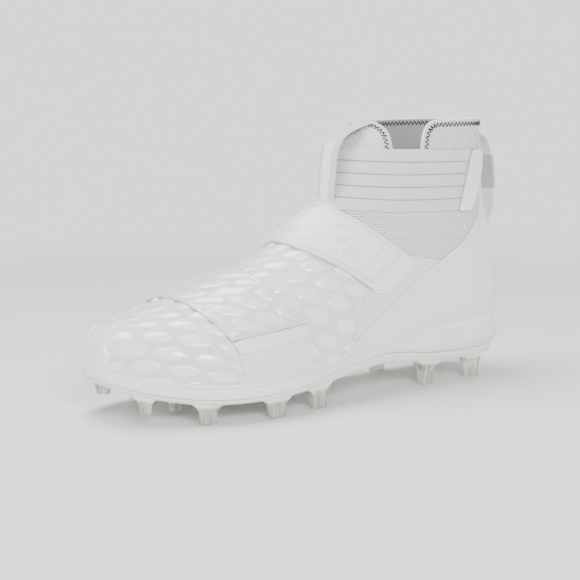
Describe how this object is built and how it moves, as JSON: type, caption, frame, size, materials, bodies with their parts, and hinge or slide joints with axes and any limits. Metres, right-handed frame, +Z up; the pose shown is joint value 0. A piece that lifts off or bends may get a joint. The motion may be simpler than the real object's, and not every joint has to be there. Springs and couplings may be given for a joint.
{
  "type": "american football cleat",
  "caption": "White mid-cut left-foot cleat: sock-like upper with raised cells, three straps, collar notch, pull loops, foam midsole and clear plate with moulded studs.",
  "frame": {"origin": "centre of the shoe's outline from above, on the ground under the studs", "axes": "+X towards the toe, +Y towards the wearer's left (the outer side of this left shoe), +Z up"},
  "size_m": [0.3176, 0.11, 0.1842],
  "materials": {
    "plate": "clear glossy moulded plastic",
    "foam": "smooth white foam",
    "insole_cloth": "brushed textile over thin foam",
    "knit": "white knit and mesh with clear raised film cells",
    "counter": "smooth white synthetic leather",
    "forefoot_patch": "smooth white synthetic leather",
    "forefoot_strap": "film-covered textile with raised cells",
    "strap_tab": "smooth white synthetic leather",
    "midfoot_patch": "smooth off-white synthetic leather",
    "midfoot_strap": "smooth white synthetic leather over padding",
    "strap_trim": "glossy white moulded trim",
    "elastic": "ribbed off-white elastic webbing",
    "ankle_tab": "smooth white synthetic leather",
    "loop_webbing": "flat white webbing"
  },
  "bodies": {
    "root": {"outsole_plate": "plate", "midsole": "foam", "insole": "insole_cloth", "upper": "knit", "heel_counter": "counter", "forefoot_patch": "forefoot_patch", "forefoot_strap": "forefoot_strap", "forefoot_strap_tab": "strap_tab", "midfoot_patch": "midfoot_patch", "midfoot_strap": "midfoot_strap", "midfoot_strap_trim": "strap_trim", "ankle_strap": "elastic", "ankle_strap_tab_outer": "ankle_tab", "ankle_strap_tab_inner": "ankle_tab", "front_pull_loop": "loop_webbing", "heel_pull_loop": "loop_webbing"}
  },
  "joints": []
}
